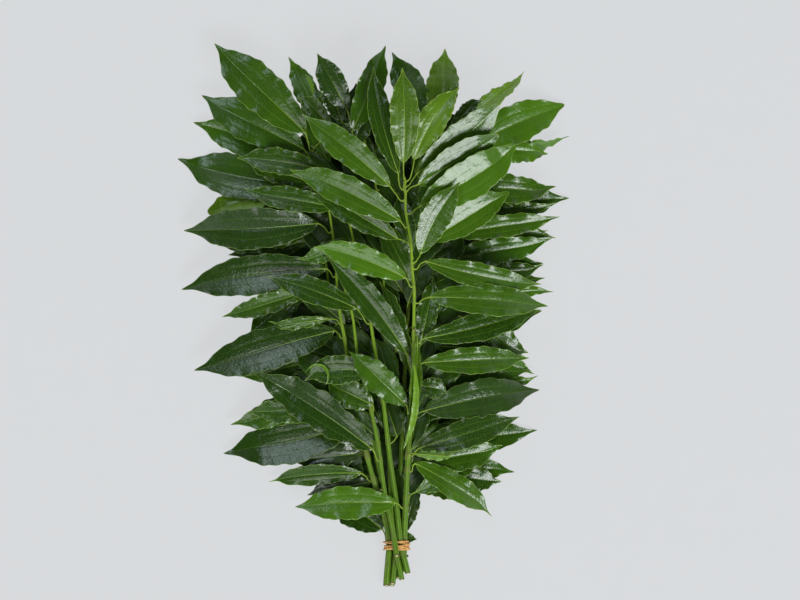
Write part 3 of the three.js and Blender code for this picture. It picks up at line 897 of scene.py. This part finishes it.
MORE_RIGHT = [
    more((187, 170, 5), (95, 150, 12), 20, 0.8, roll=0.9),
    more((167, 157, 12), (110, 160, 22), 24, 1.3),
    more((101, 209, 44), (75, 180, 46), 14, 0.0),
    more((119, 172, 70), (43, 125, 74), 31, 0.4, ("leaf_right_02", "leaf_right_05"), twist=-10,
         open=4, blunt=0.45, narrow=0.3, hem=1, sway=2, **CALM),
    more((174, 119, 14), (78, 125, 30), 28, 0.4),
    more((175, 106, 6), (95, 96, 10), 14, 0.4),
    more((167, 81, 5), (92, 74, 8), 16, 0.3),
    more((175, 78, 5), (95, 84, 8), 14, 0.4),
    more((163, 45, 5), (85, 40, 9), 20, 0.2),
    more((164, 36, 4), (85, 30, 8), 18, 0.3),
    more((172, 26, 6), (100, 20, 10), 12, 0.9, wave=1.8),
    more((178, 94, 16), (66, 78, 30), 22, 0.45),
    more((145, -33, 12), (60, -28, 30), 24, 0.05),
    more((146, -38, 14), (95, -5, 20), 26, 0.4),
    more((155, -50, 8), (85, -38, 14), 18, 0.5),
    more((157, -62, 6), (105, -60, 10), 10, 0.9),
    more((70, -70, 46), (45, -65, 47), 20, 0.0),
    more((124, -126, 14), (43, -139, 24), 29, 0.4),
    more((122, -158, 4), (55, -150, 10), 28, 0.1),
    more((100, -140, 18), (41, -167, 24), 20, 0.4),
    more((105, -163, 4), (40, -160, 8), 26, 0.15),
    more((43, -160, 8), (29, -207, 10), 15, 0.0, wax=0.3),
    more((42, -212.5, 12), (12, -209, 10), 12, 0.1, arch=1, narrow=0.2, hem=0.3, sway=0, **CALM),
]
FRINGED = tuple(f"leaf_left_0{number}" for number in (4, 5, 6, 7))
PLAIN = dict(hem=0.2, sway=0, veined=0.0, narrow=0.2, **CALM)
MORE_YOUNG = [
    # This leaf's tone of 1.5 is partly painted light: a lighter green for a leaf that lies in shade.
    more((-158, 99, 30), (-76, 128, 26), 32, 1.5, FRINGED, twist=-15, blunt=0.5, narrow=0.3, sway=0,
         wave=0.5, ripple=0.3),
    more((78, -133, 56), (40, -130, 52), 10, 1.2, roll=2.8, wave=1.4),
    more((-64, -53, 53), (-44, -64, 59), 3.2, 0.5, bow=6.5, arch=3, stalked=False, **PLAIN),
    more((29, -126, 58), (39, -46, 65), 6.6, 0.8, bow=-3, arch=2, fold=0.25, **PLAIN),
    more((-65, 231, 22), (-58, 209, 29), 3.6, 0.8, bow=1.5, arch=1, stalked=False, **PLAIN),
]


SPREAD_LONG = (60, 84)
FULLEST = 30  # how far up the bunch the leaves are longest
BARE_BELOW = -130  # further down, no leaf starts at the sides


def spread_leaves(seed, heights, places, z, wide, tones, **shape):
    """Leaves set at random up the bunch; places pairs where a leaf starts with its lean."""
    chance = random.Random(seed)
    made = []
    for y in heights:
        reach = 1 - abs(y - FULLEST) / 420
        for x, lean in places:
            base = (x + chance.uniform(-6, 6), y + chance.uniform(-8, 8), chance.uniform(*z))
            if base[1] < BARE_BELOW and abs(x) > 30:
                continue
            long = chance.uniform(*SPREAD_LONG) * reach
            heading = math.radians(lean + chance.uniform(-14, 14))
            tip = (base[0] + long * math.sin(heading), base[1] + long * math.cos(heading), z[0])
            made.append(more(tip, base, chance.uniform(*wide), chance.uniform(*tones), **shape))
    return made


# The leaves deep in the bunch, in a darker finish that is painted shade.
HIDDEN = spread_leaves(
    "hidden", range(-165, 181, 22),
    ((-36, -80), (-18, -40), (-2, -10), (14, 12), (30, 35), (44, 78)),
    (4, 16), (28, 36), (0, 0.3), hem=0.8, wave=0.5, ripple=0.1,
)

# The leaves just under the stems, seen between them.
MIDDLE = spread_leaves(
    "middle", range(-120, 141, 28), ((-30, -50), (0, -35), (24, -28), (38, 24), (42, 50)),
    (30, 40), (22, 27), (0.05, 0.5), hem=1.0, wave=0.7, ripple=0.2,
)


# -------- laying the extra leaves

GAP = 0.9  # between a leaf and what it crosses
SLOPE = 0.45  # how steeply a leaf may be bent to clear it
LOWEST = 0.8  # above the floor
SETTLE_ROWS = 17
ABOVE_ALL, BELOW_ALL = 400, -100


class Layer:
    """Something already placed that a new leaf must pass over or under."""

    def __init__(self, name, points, faces):
        self.name = name
        self.tree = BVHTree.FromPolygons([tuple(p) for p in points], faces)
        self.low, self.high = points.min(axis=0), points.max(axis=0)

    def span_at(self, x, y):
        top = self.tree.ray_cast((x, y, ABOVE_ALL), (0, 0, -1))[0]
        if top is None:
            return None
        bottom = self.tree.ray_cast((x, y, BELOW_ALL), (0, 0, 1))[0]
        return (bottom.z, top.z) if bottom else None


def node_layer(name):
    faces = [tuple(face.vertices) for face in nodes[name].data.polygons]
    return Layer(name, corners_of(name), faces)


def grid_layer(name, grid):
    return Layer(name, grid.reshape(-1, 3), grid_faces(*grid.shape[:2]))


def settle(rows, layers, under):
    """Moves a leaf's rows up or down so that it lies between the things above and below it."""
    fine = np.linspace(0, 1, SETTLE_ROWS)
    grid = smooth(ALONG, rows, fine)
    flat = grid.reshape(-1, 3)
    low, high = flat.min(axis=0) - 1, flat.max(axis=0) + 1
    floor_limit = np.full(len(flat), LOWEST)
    roof_limit = np.full(len(flat), math.inf)
    for layer in layers:
        if np.any(layer.low[:2] > high[:2]) or np.any(layer.high[:2] < low[:2]):
            continue
        met = []
        for i, (x, y, z) in enumerate(flat):
            found = layer.span_at(x, y)
            if found:
                met.append((i, *found, z))
        if not met:
            continue
        height = np.mean([z - (bottom + top) / 2 for _, bottom, top, z in met])
        over = height > 0 and layer.name not in under
        for i, bottom, top, _ in met:
            if over:
                floor_limit[i] = max(floor_limit[i], top + GAP)
            else:
                roof_limit[i] = min(roof_limit[i], bottom - GAP)
    apart = np.linalg.norm(flat[:, None, :2] - flat[None, :, :2], axis=2)
    raise_by = np.maximum(floor_limit - flat[:, 2], 0)
    lower_by = np.maximum(flat[:, 2] - roof_limit, 0)
    raised = np.max(raise_by[None, :] - SLOPE * apart, axis=1)
    lowered = np.max(lower_by[None, :] - SLOPE * apart, axis=1)
    moved = np.maximum(raised, 0) - np.maximum(lowered, 0)
    grid[..., 2] += moved.reshape(grid.shape[:2])
    grid[..., 2] = np.maximum(grid[..., 2], LOWEST)
    settled = smooth(fine, grid, ALONG)
    settled[-1] = settled[-1].mean(axis=0)
    return settled


def stalk_for(rows, bent):
    """Three points of the stalk that joins a leaf's rows to a stem, from the stem to the blade."""
    base = rows[0, 2]
    stem, at = nearest_stem(base - np.array([0, 8.0, 0]), base[1] + 2)
    centre = stem.path[at]
    start = centre + unit(base - centre) * stem.radii[at]
    middle = (start + base) / 2
    if bent:
        reach = np.linalg.norm(base - start) / 2.5
        middle = middle + (np.array([0, 0.5, 0.2]) * reach - unit(rows[1, 2] - rows[0, 2]) * reach) / 2
    return np.array([start, middle, base])


def build_more(group, name, paint, detail=FULL):
    """One piece of many leaves, each laid over or under what is already there."""
    skin = Skin()
    deep = detail is COARSE
    for i, row in enumerate(group):
        shape = {key: row[key] for key in ("bow", "arch", "roll", "fold") if key in row}
        look = {key: row[key] for key in LOOK if key in row}
        rows = leaf_from_ends(row["base"], row["tip"], row["wide"], **shape)
        rows = settle(rows, layers, row["under"])
        layers.append(grid_layer(f"{name}_{i}", rows))
        stalk = stalk_for(rows, not deep)
        build_leaf(skin, f"{name}_{i}", rows, stalk, look, detail, 0 if deep else 1)
    skin.piece(name, [blade_materials[paint], stalk_paint])


def build_named(node):
    """The fine leaf that takes the place of a CAD leaf."""
    key = node.removeprefix("leaf_")
    finish = "leaf_old" if key in OLD else "leaf_young" if key in YOUNG else "leaf_grown"
    stalk, rows = leaf_from_node(node)
    skin = Skin()
    build_leaf(skin, key, rows, stalk, LOOKS[key], FULL, 1)
    skin.piece(f"blade_{key}", [blade_materials[finish], stalk_paint], [node])


# -------- stems

STEM_RING = 30  # points round a stem
RIDGES = 6
RIDGE_HIGH = 0.05  # as a share of the radius
RIDGE_TWIST = 0.004  # radians in a millimetre
NODE_SWELL, NODE_LONG, MOST_SWELL = 0.2, 2.6, 0.35  # thicker where stalks join
SCAR_AHEAD, SCAR_LONG = 1.5, 1.3
TOP_TAPER = 5
SLANT = 1.5  # of the cut end
KINK = 0.55
STUB_LONG = 4.2
STUB_RADIUS = 1.1
STUB_RING = 12

# Where each stem has a stub, seen from above, and which way the stub points.
STUBS = {
    "front": [((40, -12), (0.35, -0.1, 1.0)), ((31, -227), (1.0, -0.2, 0.3))],
    "short_front": [((14, -164), (-1.0, 0.2, 0.4))],
    "left": [((-24, -40), (-0.4, 0.2, 1.0))],
}


def kinks(stem):
    """How far a stem steps aside, one way and then the other, at every other stalk."""
    bends = sorted(stem.joints)[::2]
    sides = [KINK * (-1) ** i for i in range(len(bends))]
    aside = np.interp(stem.run, [0, *bends, stem.run[-1]], [0, *sides, 0])
    return aside * ease(stem.path[:, 1], -60, 60)


def slimming(path):
    """The share of its width that a stem keeps as it rises."""
    return 1 - 0.1 * ease(path[:, 1], -190, -150) - 0.32 * ease(path[:, 1], -120, 70)


def build_stem(stem, material):
    run = stem.run
    key = stem.node.removeprefix("stem_")
    swell = np.zeros(len(run))
    scar = np.zeros(len(run))
    for at in stem.joints:
        swell += NODE_SWELL * bell(run - at, NODE_LONG)
        scar += bell(run - at - SCAR_AHEAD, SCAR_LONG)
    ends = 1 - 0.75 * ease(run, run[-1] - TOP_TAPER, run[-1])
    radius = stem.radii * slimming(stem.path) * (1 + np.minimum(swell, MOST_SWELL)) * ends
    path = stem.path + np.array([1.0, 0.0, 0.0]) * kinks(stem)[:, None]
    phase = random.Random(stem.node).uniform(0, 6)
    angle = 2 * np.pi * np.arange(STEM_RING) / STEM_RING
    ridge = np.cos(RIDGES * angle + (run[:, None] * RIDGE_TWIST + phase))
    bumpy = radius[:, None] * (1 + RIDGE_HIGH * ridge)
    points, faces, rod = tube(path, bumpy, STEM_RING)

    # The stem is cut on a slant, so the top of its end is set back.
    height = (points[..., 2] - path[:, 2][:, None]) / radius[:, None]
    back = SLANT * (1 + height) * np.maximum(1 - run / (3.2 * STATION), 0)[:, None]
    points = points + unit(path[2] - path[0]) * back[:, :, None]
    rod[..., 2] = np.minimum(scar, 1)[:, None]
    bark = grid_values(ridge.shape, path[:, 1][:, None], 0.0, 0.5 + 0.5 * ridge)
    skin = Skin()
    skin.add(points, faces, rod=rod, bark=bark)
    add_cut(skin, points[0], points[0].mean(axis=0), unit(path[0] - path[2]), True)
    add_cut(skin, points[-1], path[-1], unit(path[-1] - path[-3]), False)
    for place, ahead in STUBS.get(key, ()):
        add_stub(skin, path, place, ahead)
    skin.piece(f"bark_{key}", [material], [stem.node])


def add_stub(skin, path, place, ahead):
    """What is left of a side shoot that was cut off, with its pale end."""
    at = int(np.argmin(np.linalg.norm(path[:, :2] - np.array(place), axis=1)))
    ahead = unit(ahead)
    share = np.linspace(0, 1, 7)[:, None]
    stub = path[at] + ahead * share * STUB_LONG
    radii = STUB_RADIUS * (1.25 - 0.35 * share + 0.2 * share**6)
    points, faces, rod = tube(stub, radii, STUB_RING)
    rod[..., 2] = 0.9
    skin.add(points, faces, rod=rod, bark=grid_values(rod.shape[:2], stub[0, 1], 0.0, 0.0))
    add_cut(skin, points[-1][::-1], stub[-1], ahead, True)


CUT_SHARES = (1.0, 0.86, 0.6, 0.3)  # rings of a cut face, as shares of its radius
CUT_PITH = (0.16, 0.3, 0.6, 0.9)  # how pale each ring is
CUT_DOME = 0.5


def add_cut(skin, ring, centre, outward, is_cut):
    """Closes a stem's end with a slightly domed face; a cut end shows its pith."""
    dome = outward * CUT_DOME
    points = [centre + (ring - centre) * share + dome * (1 - share**2) for share in CUT_SHARES]
    points = np.concatenate(points + [centre[None] + dome])
    count = len(ring)
    last = (len(CUT_SHARES) - 1) * count
    faces = []
    for low in range(0, last, count):
        for k in range(count):
            n = (k + 1) % count
            faces.append((low + k, low + n, low + count + n, low + count + k))
    faces += [(last + k, last + (k + 1) % count, len(points) - 1) for k in range(count)]
    if not is_cut:
        faces = [face[::-1] for face in faces]
    bark = np.zeros_like(points)
    bark[:, 0] = centre[1]
    if is_cut:
        bark[:, 1] = [*np.repeat(CUT_PITH, count), 1.0]
    skin.add(points, faces, bark=bark)


# -------- the rubber band

def hull_of(points):
    """The corners of the smallest convex outline round flat points, in order."""
    ordered = sorted(map(tuple, points))
    halves = []
    for run_of in (ordered, ordered[::-1]):
        chain = []
        for p in run_of:
            while len(chain) > 1:
                (ax, ay), (bx, by) = chain[-2], chain[-1]
                if (bx - ax) * (p[1] - ay) - (by - ay) * (p[0] - ax) > 1e-9:
                    break
                chain.pop()
            chain.append(p)
        halves.append(chain[:-1])
    return np.array(halves[0] + halves[1])


BAND_STEPS = 120
BAND_ROUNDINGS = 3
BAND_INSET = 0.75
STRAND_SIDES = 10

# Each turn's distance below the band's top edge, its swing up and down, where it swings to,
# its radius and how far it stands out over the other turns.
STRANDS = [
    (1.6, 0.5, 1.0, 0.8, 0.0), (3.0, 1.1, 2.0, 0.75, 0.15), (5.6, 0.3, 0.0, 0.95, 0.0),
    (7.2, 0.25, 1.2, 0.9, 0.1), (8.7, 0.35, 2.6, 0.9, 0.0), (6.6, 2.6, 0.2, 0.8, 1.15),
    (5.4, 3.4, 2.9, 0.7, 1.5),
]


def build_band():
    """Seven turns of a thin strand that follow the CAD band's outline."""
    points, _ = welded("rubber_band")
    top = points[:, 1].max()
    round_it = hull_of(points[:, [0, 2]])
    closed = np.concatenate([round_it, round_it[:1]])
    run = lengths(closed)
    steps = np.linspace(0, run[-1], BAND_STEPS, endpoint=False)
    around = np.stack([np.interp(steps, run, closed[:, axis]) for axis in (0, 1)], axis=1)
    middle = around.mean(axis=0)
    angle = np.arctan2(around[:, 1] - middle[1], around[:, 0] - middle[0])
    for _ in range(BAND_ROUNDINGS):
        around = (np.roll(around, 1, axis=0) + 2 * around + np.roll(around, -1, axis=0)) / 4
    away = unit(around - middle)
    skin = Skin()
    for down, swing, phase, radius, proud in STRANDS:
        ring = around + away * (proud - BAND_INSET)
        y = top - down + swing * np.cos(angle - phase)
        path = np.stack([ring[:, 0], y, ring[:, 1]], axis=1)
        tube_points, faces, rod = tube(path, [radius] * BAND_STEPS, STRAND_SIDES, closed=True)
        skin.add(tube_points, faces, rod=rod)
    skin.piece("band_turns", [band_material()], ["rubber_band"])


# -------- building

make_camera()
make_world()
for light in LIGHTS:
    make_light(*light)
make_floor()
bpy.context.scene.view_settings.view_transform = "Standard"

blade_materials = {name: leaf_material(name, *look) for name, look in LEAF_FINISHES.items()}
stalk_paint = stalk_material()
layers = [node_layer(name) for name in LEAF_NAMES + STEM_NAMES]

for leaf_name in LEAF_NAMES:
    build_named(leaf_name)
for side, group in (("left", MORE_LEFT), ("centre", MORE_CENTRE), ("right", MORE_RIGHT)):
    build_more(group, f"more_leaves_{side}", "leaf_grown")
build_more(MORE_YOUNG, "more_leaves_young", "leaf_young")
build_more(MIDDLE, "middle_leaves", "leaf_inner", MEDIUM)
build_more(HIDDEN, "hidden_leaves", "leaf_deep_painted_shade", COARSE)

# The stems come after the leaves, because they swell where the stalks join them.
bark_paint = stem_material()
for stem in stems:
    build_stem(stem, bark_paint)
build_band()
